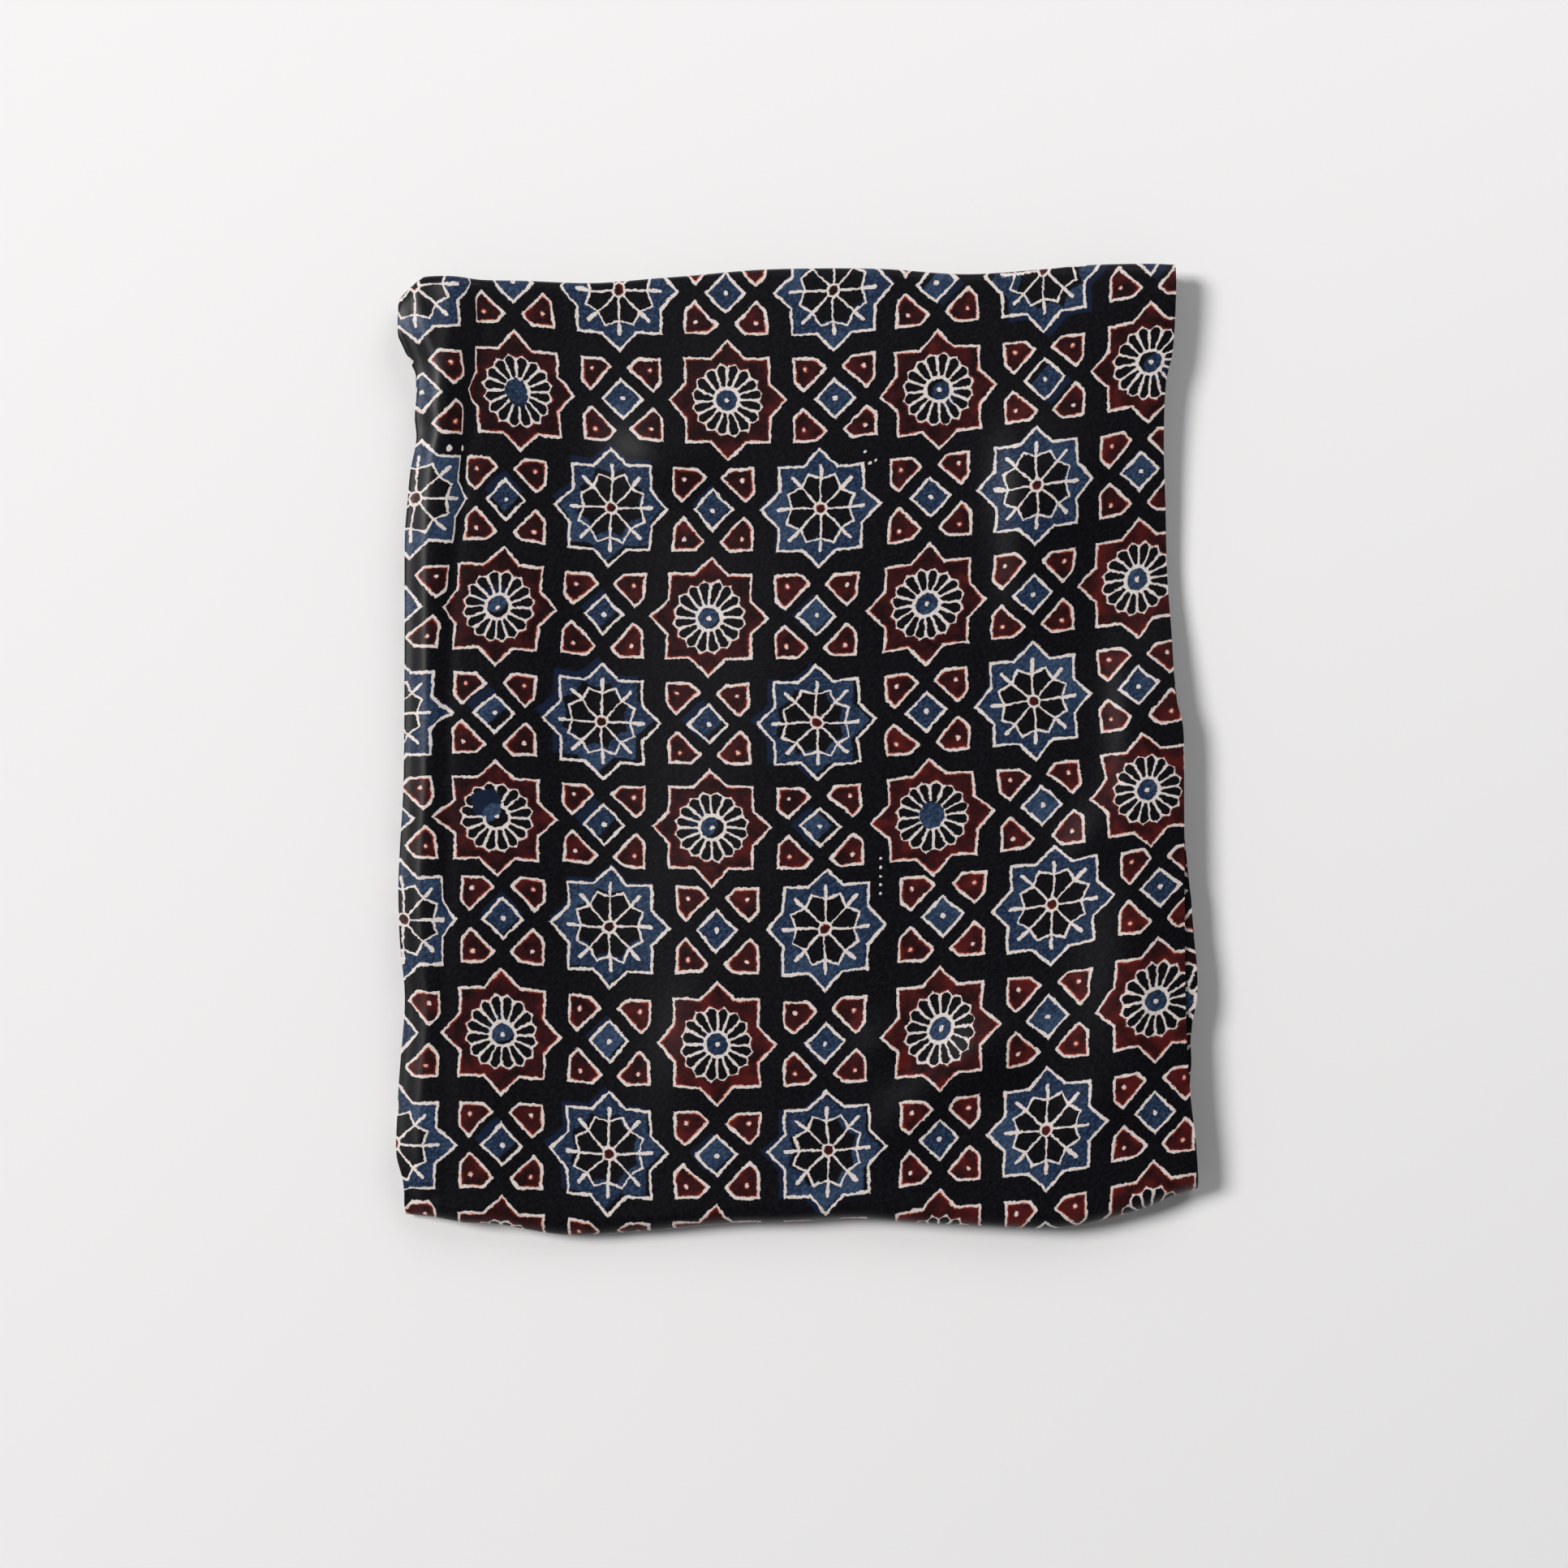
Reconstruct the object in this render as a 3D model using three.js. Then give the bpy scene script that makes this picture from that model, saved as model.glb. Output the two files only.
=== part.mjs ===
import * as THREE from 'three';

// A block-printed ajrakh cloth, folded flat and lying on a table.
// Millimetres, +Z up, resting on z = 0. +Y is the far edge of the packet and -X its folded side.
//
// The cloth is one sheet. It is folded in half across its width, so the turn is at -X and both
// selvedges are at +X, and then in half and in half again along its length. That gives eight layers:
// the far edge shows a tight turn, the near edge one fat turn with a tight one inside it, and both
// cut ends lie hidden under the far edge.

// Sheet
const CLOTH_THICKNESS = 1.25;
const LAYER_PITCH = 1.7;
const PACKET_WIDTH = 281;
const PACKET_DEPTH = 348;
const UPPER_CUT_END = -3;
const LOWER_CUT_END = 1;

// Facets
const SIDE_TURN_STEPS = 4;
const TIGHT_TURN_STEPS = 4;
const FAT_TURN_STEPS = 6;
const COLUMNS = [-133, -127.5, -122, -116, -106, -84, -54, -24, 8, 40, 70, 98, 122];
const ROWS = [-158, -141, -118, -92, -63, -32, 0, 32, 63, 92, 118, 141, 160];

// Outline, as the packet lies: its folded side, its selvedge side, and its far and near edges.
const FOLDED_SIDE = [
  { y: -170, x: -142.4 },
  { y: -157, x: -143.2 },
  { y: -148, x: -145.2 },
  { y: -115, x: -143.5 },
  { y: -92, x: -141.8 },
  { y: -60, x: -144.0 },
  { y: -10, x: -142.3 },
  { y: 83, x: -142.5 },
  { y: 118, x: -138.6 },
  { y: 138, x: -139.2 },
  { y: 161, x: -144.8 },
  { y: 174, x: -145.0 },
];
const SELVEDGE_SIDE = [
  { y: -174, x: 143.6 },
  { y: -157, x: 142.6 },
  { y: -117, x: 139.2 },
  { y: -22, x: 138.3 },
  { y: 2, x: 137.6 },
  { y: 18, x: 135.2 },
  { y: 60, x: 132.7 },
  { y: 110, x: 131.4 },
  { y: 142, x: 134.0 },
  { y: 174, x: 135.1 },
];
const FAR_EDGE = [
  { x: -145, y: 161.4 },
  { x: -135, y: 170.3 },
  { x: -112, y: 169.8 },
  { x: -74, y: 168.4 },
  { x: -38, y: 171.2 },
  { x: 8, y: 173.6 },
  { x: 54, y: 171.8 },
  { x: 90, y: 173.6 },
  { x: 136, y: 175.4 },
];
const NEAR_EDGE = [
  { x: -142, y: -167.9 },
  { x: -120, y: -170.6 },
  { x: -84, y: -174.9 },
  { x: -50, y: -173.0 },
  { x: -10, y: -170.4 },
  { x: 20, y: -169.2 },
  { x: 60, y: -172.0 },
  { x: 92, y: -172.6 },
  { x: 112, y: -169.0 },
  { x: 136, y: -160.4 },
  { x: 144, y: -158.0 },
];

// How far the layers under the top one slip out beyond it at the selvedge side.
const SLIPPED_LAYERS = [
  { y: -138, out: 0 },
  { y: -124, out: 1.5 },
  { y: -113, out: 2.0 },
  { y: -101, out: 4.6 },
  { y: -88, out: 4.6 },
  { y: -74, out: 3.0 },
  { y: -62, out: 2.2 },
  { y: -46, out: 0 },
];

// The old pressing crease that runs along the folded side: where it is, how deep, and how high the
// narrow strip beyond it stands.
const CREASE_COLUMN = -122;
const CREASE_REACH = { folded: 20, selvedge: 62 };
const CREASE = [
  { y: -168, x: -128.3, depth: 0.3, strip: 0.4 },
  { y: -74, x: -128.1, depth: 0.5, strip: 0.6 },
  { y: -42, x: -126.9, depth: 1.2, strip: 1.0 },
  { y: 0, x: -127.5, depth: 1.6, strip: 1.3 },
  { y: 52, x: -125.7, depth: 1.8, strip: 1.5 },
  { y: 89, x: -122.8, depth: 2.0, strip: 1.8 },
  { y: 112, x: -119.9, depth: 2.1, strip: 2.2 },
  { y: 147, x: -115.2, depth: 2.1, strip: 2.4 },
  { y: 174, x: -114.4, depth: 1.6, strip: 1.6 },
];
const CREASE_WALL = { folded: 3.5, selvedge: 6 };
const STRIP_RIDGE = { offset: -11, width: 6.5 };

// Soft swells and hollows of the whole pile: centre, half-widths, and rise at the top layer.
const SWELLS = [
  { x: 128, y: -112, rx: 70, ry: 52, rise: 2.2 },
  { x: 136, y: 68, rx: 62, ry: 52, rise: -2.0 },
  { x: 128, y: 166, rx: 44, ry: 26, rise: 0.8 },
  { x: 62, y: 86, rx: 16, ry: 44, rise: 0.7 },
  { x: -42, y: 14, rx: 30, ry: 90, rise: 0.6 },
  { x: -60, y: 118, rx: 30, ry: 22, rise: 0.6 },
  { x: 20, y: -104, rx: 18, ry: 22, rise: 0.6 },
  { x: 66, y: -124, rx: 16, ry: 30, rise: 0.8 },
  { x: 8, y: 60, rx: 30, ry: 60, rise: -0.6 },
  { x: -142, y: 168, rx: 12, ry: 12, rise: -1.6 },
  { x: -140, y: -166, rx: 14, ry: 12, rise: -1.4 },
];

// Cloth: a dark ground under blue, madder and cream print, seen from a distance.
const CLOTH_COLOR = 0x4a4143;
const CLOTH_ROUGHNESS = 0.72;
const CLOTH_METALNESS = 0;

// Sizes that follow from the sheet
const HALF_THICKNESS = CLOTH_THICKNESS / 2;
const SIDE_TURN_RADIUS = LAYER_PITCH / 2;
const PAIR_HALF_HEIGHT = SIDE_TURN_RADIUS + HALF_THICKNESS;
const PAIR_PITCH = 2 * LAYER_PITCH;
const PAIRS = 4;
const PACKET_HEIGHT = (PAIRS - 1) * PAIR_PITCH + 2 * PAIR_HALF_HEIGHT;
const PACKET_MIDDLE = PACKET_HEIGHT / 2;
const FAT_TURN_RADIUS = 1.5 * PAIR_PITCH;
const TIGHT_TURN_RADIUS = PAIR_PITCH / 2;
const TOP_LAYER_FLOOR = PACKET_HEIGHT - LAYER_PITCH;
const NEAR_TURN_Y = -PACKET_DEPTH / 2 + PACKET_MIDDLE;
const FAR_TURN_Y = PACKET_DEPTH / 2 - TIGHT_TURN_RADIUS - PAIR_HALF_HEIGHT;
const SIDE_TURN_X = -PACKET_WIDTH / 2 + PAIR_HALF_HEIGHT;
const SELVEDGE_X = PACKET_WIDTH / 2;

// A smooth curve through one column of a table, level at each entry's own height beyond its ends.
function along(table, key, at, value) {
  const last = table.length - 1;
  if (at <= table[0][key]) {
    return table[0][value];
  }
  if (at >= table[last][key]) {
    return table[last][value];
  }
  let i = 0;
  while (table[i + 1][key] < at) {
    i += 1;
  }
  const slope = (k) => {
    const a = table[Math.max(k - 1, 0)];
    const b = table[Math.min(k + 1, last)];
    return (b[value] - a[value]) / (b[key] - a[key]);
  };
  const span = table[i + 1][key] - table[i][key];
  const t = (at - table[i][key]) / span;
  const s = 1 - t;
  const start = table[i][value] * (1 + 2 * t) * s * s;
  const end = table[i + 1][value] * (1 + 2 * s) * t * t;
  return start + end + span * t * s * (slope(i) * s - slope(i + 1) * t);
}

function bell(offset, width) {
  return Math.exp(-((offset / width) ** 2));
}

// One turn of a path: stations on a half circle about a centre, from the heading it starts with.
// A positive turn is anticlockwise.
function turn(center, radius, heading, sign, steps) {
  const stations = [];
  for (let i = 1; i < steps; i += 1) {
    const angle = heading + (sign * Math.PI * i) / steps;
    stations.push({
      p: center.p + sign * radius * Math.sin(angle),
      q: center.q - sign * radius * Math.cos(angle),
      angle,
      forward: 0,
    });
  }
  return stations;
}

function run(positions, q, angle) {
  const forward = Math.round(Math.cos(angle));
  return positions.map((p) => ({ p, q, angle, forward }));
}

// Section across the cloth: out along the lower layer, round the side turn, back along the upper.
function acrossPath() {
  const outward = [SIDE_TURN_X, ...COLUMNS, SELVEDGE_X];
  const inward = [...outward].reverse();
  const center = { p: SIDE_TURN_X, q: 0 };
  return [
    ...run(inward, -SIDE_TURN_RADIUS, Math.PI),
    ...turn(center, SIDE_TURN_RADIUS, Math.PI, -1, SIDE_TURN_STEPS),
    ...run(outward, SIDE_TURN_RADIUS, 0),
  ];
}

// Section along the cloth: the bottom pair, the fat near turn, the top pair, the tight far turn, the
// pair under it, the tight near turn inside the fat one, and the last pair.
function alongPath() {
  const farward = [NEAR_TURN_Y, ...ROWS, FAR_TURN_Y];
  const nearward = [...farward].reverse();
  const heights = [0, 1, 2, 3].map((pair) => PAIR_HALF_HEIGHT + pair * PAIR_PITCH);
  const nearCenter = { p: NEAR_TURN_Y, q: PACKET_MIDDLE };
  const farCenter = { p: FAR_TURN_Y, q: (heights[2] + heights[3]) / 2 };
  const bottom = run(nearward, heights[0], Math.PI);
  const last = run(farward, heights[1], 0);
  bottom[0].p += LOWER_CUT_END;
  last[last.length - 1].p += UPPER_CUT_END;
  return [
    ...bottom,
    ...turn(nearCenter, FAT_TURN_RADIUS, Math.PI, -1, FAT_TURN_STEPS),
    ...run(farward, heights[3], 0),
    ...turn(farCenter, TIGHT_TURN_RADIUS, 0, -1, TIGHT_TURN_STEPS),
    ...run(nearward, heights[2], -Math.PI),
    ...turn(nearCenter, TIGHT_TURN_RADIUS, -Math.PI, 1, TIGHT_TURN_STEPS),
    ...last,
  ];
}

function offset(station, distance) {
  return {
    p: station.p - distance * Math.sin(station.angle),
    q: station.q + distance * Math.cos(station.angle),
  };
}

// Height of the pile at a place, as a share of its plain height.
function heightShare(x, y) {
  const aside = x - along(CREASE, 'y', y, 'x');
  const wall = aside < 0 ? CREASE_WALL.folded : CREASE_WALL.selvedge;
  let rise = -along(CREASE, 'y', y, 'depth') * bell(aside, wall);
  rise += along(CREASE, 'y', y, 'strip') * bell(aside - STRIP_RIDGE.offset, STRIP_RIDGE.width);
  for (const swell of SWELLS) {
    rise += swell.rise * bell(x - swell.x, swell.rx) * bell(y - swell.y, swell.ry);
  }
  return 1 + rise / PACKET_HEIGHT;
}

// From the evenly folded packet to the way in which this one lies. It moves every layer alike, so
// the layers keep their order and their distance.
function lie(x, y, z) {
  const reach = x < CREASE_COLUMN ? CREASE_REACH.folded : CREASE_REACH.selvedge;
  const nearCrease = Math.max(0, 1 - Math.abs(x - CREASE_COLUMN) / reach);
  const towardSelvedge = (x + PACKET_WIDTH / 2) / PACKET_WIDTH;
  const towardFar = (y + PACKET_DEPTH / 2) / PACKET_DEPTH;
  const folded = along(FOLDED_SIDE, 'y', y, 'x') + PACKET_WIDTH / 2;
  const selvedge = along(SELVEDGE_SIDE, 'y', y, 'x') - PACKET_WIDTH / 2;
  const underTop = z < TOP_LAYER_FLOOR && x > COLUMNS[COLUMNS.length - 1];
  const slipped = underTop ? along(SLIPPED_LAYERS, 'y', y, 'out') : 0;
  const side = folded * (1 - towardSelvedge) + selvedge * towardSelvedge;
  const creaseShare = (CREASE_COLUMN + PACKET_WIDTH / 2) / PACKET_WIDTH;
  const sideAtCrease = folded * (1 - creaseShare) + selvedge * creaseShare;
  const crease = along(CREASE, 'y', y, 'x') - CREASE_COLUMN - sideAtCrease;
  const newX = x + side + nearCrease * crease + slipped;
  const far = along(FAR_EDGE, 'x', newX, 'y') - PACKET_DEPTH / 2;
  const near = along(NEAR_EDGE, 'x', newX, 'y') + PACKET_DEPTH / 2;
  const newY = y + near * (1 - towardFar) + far * towardFar;
  return [newX, newY, z * heightShare(newX, newY)];
}

function clothGeometry() {
  const across = acrossPath();
  const lengthwise = alongPath();
  const positions = [];
  const index = [];
  const columns = across.length;
  const rows = lengthwise.length;
  for (const side of [1, -1]) {
    for (const row of lengthwise) {
      for (const column of across) {
        const pair = offset(column, side * HALF_THICKNESS);
        const place = offset(row, pair.q);
        positions.push(...lie(pair.p, place.p, place.q));
      }
    }
  }
  const at = (side, row, column) => (side * rows + row) * columns + column;
  const quad = (a, b, c, d, swap) => {
    index.push(...(swap ? [a, b, d, b, c, d] : [a, b, c, a, c, d]));
  };
  for (let r = 0; r < rows - 1; r += 1) {
    for (let c = 0; c < columns - 1; c += 1) {
      // The diagonal is chosen so that it runs the same way in space in every layer.
      const wayAcross = across[c].forward || across[c + 1].forward;
      const wayAlong = lengthwise[r].forward || lengthwise[r + 1].forward;
      const swap = wayAcross * wayAlong < 0;
      quad(at(0, r, c), at(0, r, c + 1), at(0, r + 1, c + 1), at(0, r + 1, c), swap);
      quad(at(1, r, c), at(1, r + 1, c), at(1, r + 1, c + 1), at(1, r, c + 1), swap);
    }
  }
  for (let r = 0; r < rows - 1; r += 1) {
    quad(at(0, r, 0), at(0, r + 1, 0), at(1, r + 1, 0), at(1, r, 0), false);
    const c = columns - 1;
    quad(at(1, r, c), at(1, r + 1, c), at(0, r + 1, c), at(0, r, c), false);
  }
  for (let c = 0; c < columns - 1; c += 1) {
    quad(at(1, 0, c), at(1, 0, c + 1), at(0, 0, c + 1), at(0, 0, c), false);
    const r = rows - 1;
    quad(at(0, r, c), at(0, r, c + 1), at(1, r, c + 1), at(1, r, c), false);
  }
  const geometry = new THREE.BufferGeometry();
  geometry.setAttribute('position', new THREE.Float32BufferAttribute(positions, 3));
  geometry.setIndex(index);
  geometry.computeBoundingBox();
  const middle = geometry.boundingBox.getCenter(new THREE.Vector3());
  geometry.translate(-middle.x, -middle.y, -geometry.boundingBox.min.z);
  geometry.computeVertexNormals();
  return geometry;
}

const clothMaterial = new THREE.MeshStandardMaterial({
  color: CLOTH_COLOR,
  roughness: CLOTH_ROUGHNESS,
  metalness: CLOTH_METALNESS,
});

const cloth = new THREE.Mesh(clothGeometry(), clothMaterial);
cloth.name = 'cloth';

const packet = new THREE.Group();
packet.name = 'folded_ajrakh_cloth';
packet.add(cloth);

export default packet;
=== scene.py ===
# %% [markdown]
# # A folded ajrakh cloth
# Ajrakh is cotton or silk that is printed by hand with carved wooden blocks: a paste that resists
# the dye keeps the lines cream, and the cloth then goes through an iron-black, a madder-red and an
# indigo bath. This one is a stole, folded into a flat packet and lying on a pale table.
# The packet was first made as a solid, with plain layers. Here it becomes a thin sheet on the same
# folds, and gets its creases, its print and its satin sheen.

# %% Load the packet
import math

import bpy
import numpy as np
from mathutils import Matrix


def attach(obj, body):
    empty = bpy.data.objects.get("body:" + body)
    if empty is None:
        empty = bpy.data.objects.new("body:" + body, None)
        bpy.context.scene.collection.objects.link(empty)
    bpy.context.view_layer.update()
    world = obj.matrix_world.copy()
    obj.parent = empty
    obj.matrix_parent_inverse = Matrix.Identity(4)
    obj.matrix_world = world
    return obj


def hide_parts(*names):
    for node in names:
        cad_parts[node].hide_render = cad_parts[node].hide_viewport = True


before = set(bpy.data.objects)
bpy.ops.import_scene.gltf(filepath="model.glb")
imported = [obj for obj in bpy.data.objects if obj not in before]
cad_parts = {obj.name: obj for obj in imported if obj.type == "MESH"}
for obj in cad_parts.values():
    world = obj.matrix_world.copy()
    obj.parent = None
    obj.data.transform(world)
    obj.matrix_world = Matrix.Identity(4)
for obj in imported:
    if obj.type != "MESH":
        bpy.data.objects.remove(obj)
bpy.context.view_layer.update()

MM = 0.001

# %% [markdown]
# ## Tables and curves
# Nothing about a cloth that was folded by hand is quite even, so its outline and its creases are
# kept as short tables. The outline's rows are places of the edge that were measured in the photo and
# then picked; the creases, swells and pulls were judged and set one by one.
# A smooth curve goes through each column. A cubic curve with its slopes taken from the neighbouring
# rows (a Catmull-Rom curve) never leaves a kink at a row, which a polyline would.


# %% Curves through a table
def column(table, name):
    names, rows = table
    return np.array([row[names.index(name)] for row in rows], dtype=float)


def curve(keys, values, at):
    """A smooth curve through values at keys, level beyond both ends."""
    at = np.clip(at, keys[0], keys[-1])
    last = len(keys) - 1
    row = np.arange(last + 1)
    before, after = np.maximum(row - 1, 0), np.minimum(row + 1, last)
    slopes = (values[after] - values[before]) / (keys[after] - keys[before])
    left = np.clip(np.searchsorted(keys, at, side="right") - 1, 0, last - 1)
    span = keys[left + 1] - keys[left]
    t = (at - keys[left]) / span
    s = 1 - t
    start = values[left] * (1 + 2 * t) * s * s
    end = values[left + 1] * (1 + 2 * s) * t * t
    return start + end + span * t * s * (slopes[left] * s - slopes[left + 1] * t)


def along(table, key, at, value):
    """The column called value, at places of the column called key."""
    return curve(column(table, key), column(table, value), at)


def bell(offset, width):
    return np.exp(-((offset / width) ** 2))


def ease(share):
    """0 to 1 with level ends."""
    share = np.clip(share, 0, 1)
    return share * share * (3 - 2 * share)


# %% [markdown]
# ## The two folds
# The stole is folded in half across its width, so that one side of the packet is a turned edge and
# the other is two selvedges. The doubled strip is then folded in half along its length, twice.
# A fold can be simulated, but a sheet that is pressed between others tends to poke through them.
# It is surer to say where the sheet goes: a section made of straight runs and half circles. The
# first section turns flat width into (x, height); the second one turns flat length and that height
# into (y, z). Two layers can't meet, because each has its own height in the section.

# %% Sizes of the packet, in millimetres
PACKET_WIDTH = 281.0
PACKET_DEPTH = 348.0
CLOTH_THICKNESS = 0.5
LAYER_PITCH = 1.72
PAIRS = 4

SIDE_TURN_RADIUS = LAYER_PITCH / 2
PAIR_HALF_HEIGHT = SIDE_TURN_RADIUS + CLOTH_THICKNESS / 2
PAIR_PITCH = 2 * LAYER_PITCH
PACKET_HEIGHT = (PAIRS - 1) * PAIR_PITCH + 2 * PAIR_HALF_HEIGHT
PACKET_MIDDLE = PACKET_HEIGHT / 2
FAT_TURN_RADIUS = 1.5 * PAIR_PITCH
TIGHT_TURN_RADIUS = PAIR_PITCH / 2
NEAR_TURN_Y = -PACKET_DEPTH / 2 + PACKET_MIDDLE
FAR_TURN_Y = PACKET_DEPTH / 2 - TIGHT_TURN_RADIUS - PAIR_HALF_HEIGHT
SIDE_TURN_X = -PACKET_WIDTH / 2 + PAIR_HALF_HEIGHT
SELVEDGE_X = PACKET_WIDTH / 2
print("height of the even packet, mm:", round(PACKET_HEIGHT, 2))


# %% Runs and turns of a section
def run(places, height, angle, flat=(0, 1)):
    """A straight run: rows of place, height, heading, and the flat place it stands for. flat is the
    flat place of place 0, and 1 or -1 for the way in which the flat place grows."""
    return [(place, height, angle, flat[0] + flat[1] * place) for place in places]


def turn(center, height, radius, heading, sign, steps, flat):
    """The inner rows of a half circle. flat is the flat place where the turn begins, and the flat
    place grows away from the packet along the turn."""
    rows = []
    for i in range(1, steps):
        swept = math.pi * i / steps
        angle = heading + sign * swept
        place = center + sign * radius * math.sin(angle)
        at = height - sign * radius * math.cos(angle)
        rows.append((place, at, angle, flat[0] + flat[1] * radius * swept))
    return rows


def offset(rows, distance):
    """Where a point at a distance above the section lies."""
    place, height, angle = rows[:, 0], rows[:, 1], rows[:, 2]
    return place - distance * np.sin(angle), height + distance * np.cos(angle)


# %% [markdown]
# ## Where the mesh is fine
# Only the top layer shows its creases, so only its part of the sheet gets a fine grid, finest of
# all beside the crease. The hidden layers keep the coarse stations of the solid packet.

# %% Stations across and along
FINE_STEP = 2.3
CREASE_STEP = 0.9
CREASE_SPAN = (-133.0, -106.0)
SIDE_STEP = 1.1
SELVEDGE_STEP = 1.2
SELVEDGE_SPAN = 6
TURN_STEPS = {"side": 8, "fat": 14, "tight": 8}
COARSE_COLUMNS = [-133, -127.5, -122, -116, -106, -84, -54, -24, 8, 40, 70, 98, 122]
COARSE_ROWS = [-158, -141, -118, -92, -63, -32, 0, 32, 63, 92, 118, 141, 160]


def spread(start, end, step):
    return list(np.linspace(start, end, max(1, round((end - start) / step)) + 1))[1:]


fine_columns = [SIDE_TURN_X]
fine_columns += spread(SIDE_TURN_X, CREASE_SPAN[0], SIDE_STEP)
fine_columns += spread(*CREASE_SPAN, CREASE_STEP)
fine_columns += spread(CREASE_SPAN[1], SELVEDGE_X - SELVEDGE_SPAN, FINE_STEP)
fine_columns += spread(SELVEDGE_X - SELVEDGE_SPAN, SELVEDGE_X, SELVEDGE_STEP)
coarse_columns = [SIDE_TURN_X, *COARSE_COLUMNS, SELVEDGE_X]
fine_rows = [NEAR_TURN_Y, *spread(NEAR_TURN_Y, FAR_TURN_Y, FINE_STEP)]
coarse_rows = [NEAR_TURN_Y, *COARSE_ROWS, FAR_TURN_Y]

side_length = math.pi * SIDE_TURN_RADIUS
under_shift = 2 * SIDE_TURN_X - side_length
side_flat = (SIDE_TURN_X - side_length, 1)
across = run(coarse_columns[::-1], -SIDE_TURN_RADIUS, math.pi, (under_shift, -1))
across += turn(SIDE_TURN_X, 0, SIDE_TURN_RADIUS, math.pi, -1, TURN_STEPS["side"], side_flat)
across += run(fine_columns, SIDE_TURN_RADIUS, 0)
across = np.array(across)

heights = [PAIR_HALF_HEIGHT + pair * PAIR_PITCH for pair in range(PAIRS)]
fat_length = math.pi * FAT_TURN_RADIUS
tight_length = math.pi * TIGHT_TURN_RADIUS
bottom_shift = 2 * NEAR_TURN_Y - fat_length
third_shift = 2 * FAR_TURN_Y + tight_length
last_shift = third_shift - 2 * NEAR_TURN_Y + tight_length
fat, tight = (FAT_TURN_RADIUS, TURN_STEPS["fat"]), (TIGHT_TURN_RADIUS, TURN_STEPS["tight"])
near_flat, far_flat = (NEAR_TURN_Y - fat_length, 1), (FAR_TURN_Y, 1)
inner_flat = (third_shift - NEAR_TURN_Y, 1)
far_middle = (heights[2] + heights[3]) / 2
lengthwise = run(coarse_rows[::-1], heights[0], math.pi, (bottom_shift, -1))
lengthwise += turn(NEAR_TURN_Y, PACKET_MIDDLE, fat[0], math.pi, -1, fat[1], near_flat)
lengthwise += run(fine_rows, heights[3], 0)
lengthwise += turn(FAR_TURN_Y, far_middle, tight[0], 0, -1, tight[1], far_flat)
lengthwise += run(coarse_rows[::-1], heights[2], -math.pi, (third_shift, -1))
lengthwise += turn(NEAR_TURN_Y, PACKET_MIDDLE, tight[0], -math.pi, 1, tight[1], inner_flat)
lengthwise += run(coarse_rows, heights[1], 0.0, (last_shift, 1))
lengthwise = np.array(lengthwise)

FLAT_WIDTH = 2 * (SELVEDGE_X - SIDE_TURN_X) + side_length
FLAT_LENGTH = PAIRS * (FAR_TURN_Y - NEAR_TURN_Y) + fat_length + 2 * tight_length
print("flat cloth, mm:", round(FLAT_WIDTH), "by", round(FLAT_LENGTH))
print("stations:", len(across), "across,", len(lengthwise), "along")

# %% [markdown]
# ## The way it lies
# The turned side wanders, the selvedge side leans, the near edge bulges where the fat turn is
# loose, and one corner is cut off where the cloth puckered. These are small moves of everything
# that is at a place, whatever its layer, so the layers stay in order.

# %% Outline
FOLDED_SIDE = (
    ("y", "x"),
    [
        (-170, -142.4),
        (-161, -142.6),
        (-150, -145.2),
        (-127, -144.4),
        (-115, -143.5),
        (-92, -141.8),
        (-69, -143.8),
        (-48, -144.4),
        (-34, -143.8),
        (-10, -142.3),
        (48, -142.1),
        (83, -142.2),
        (95, -141.2),
        (105, -140.2),
        (115, -137.9),
        (124, -138.6),
        (135, -137.7),
        (141, -138.7),
        (148, -141.4),
        (156, -144.1),
        (161, -145.4),
        (174, -145.4),
    ],
)
SELVEDGE_SIDE = (
    ("y", "x"),
    [
        (-174, 143.6),
        (-157, 142.6),
        (-139, 140.6),
        (-117, 139.1),
        (-95, 138.6),
        (-22, 138.3),
        (1, 138.0),
        (13, 135.4),
        (36, 134.2),
        (60, 132.7),
        (83, 132.1),
        (106, 131.3),
        (130, 131.9),
        (141, 134.2),
        (165, 135.4),
        (175, 135.1),
    ],
)
FAR_EDGE = (
    ("x", "y"),
    [
        (-145, 161.2),
        (-142.6, 164.5),
        (-139, 167.6),
        (-136, 170.2),
        (-131, 170.8),
        (-124, 170.6),
        (-115, 169.6),
        (-98, 169.2),
        (-74, 168.5),
        (-51, 170.2),
        (-39, 171.1),
        (-16, 173.1),
        (7, 173.7),
        (31, 173.4),
        (54, 171.7),
        (66, 171.7),
        (89, 173.4),
        (101, 174.6),
        (124, 175.2),
        (136, 174.9),
    ],
)
NEAR_EDGE = (
    ("x", "y"),
    [
        (-143, -167.9),
        (-133, -168.5),
        (-121, -170.5),
        (-109, -171.1),
        (-98, -173.1),
        (-86, -174.9),
        (-74, -174.9),
        (-63, -174.0),
        (-51, -173.1),
        (-28, -170.8),
        (-4, -170.2),
        (19, -169.0),
        (42, -170.5),
        (66, -171.7),
        (89, -172.6),
        (101, -171.4),
        (112, -168.8),
        (124, -165.3),
        (136, -160.3),
        (144, -158.0),
    ],
)
SLIPPED_LAYERS = (
    ("y", "out"),
    [
        (-138, 0),
        (-131, 0.6),
        (-125, 1.5),
        (-114, 1.8),
        (-108, 3.0),
        (-101, 4.6),
        (-88, 4.6),
        (-75, 3.2),
        (-63, 2.6),
        (-47, 0),
    ],
)

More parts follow.
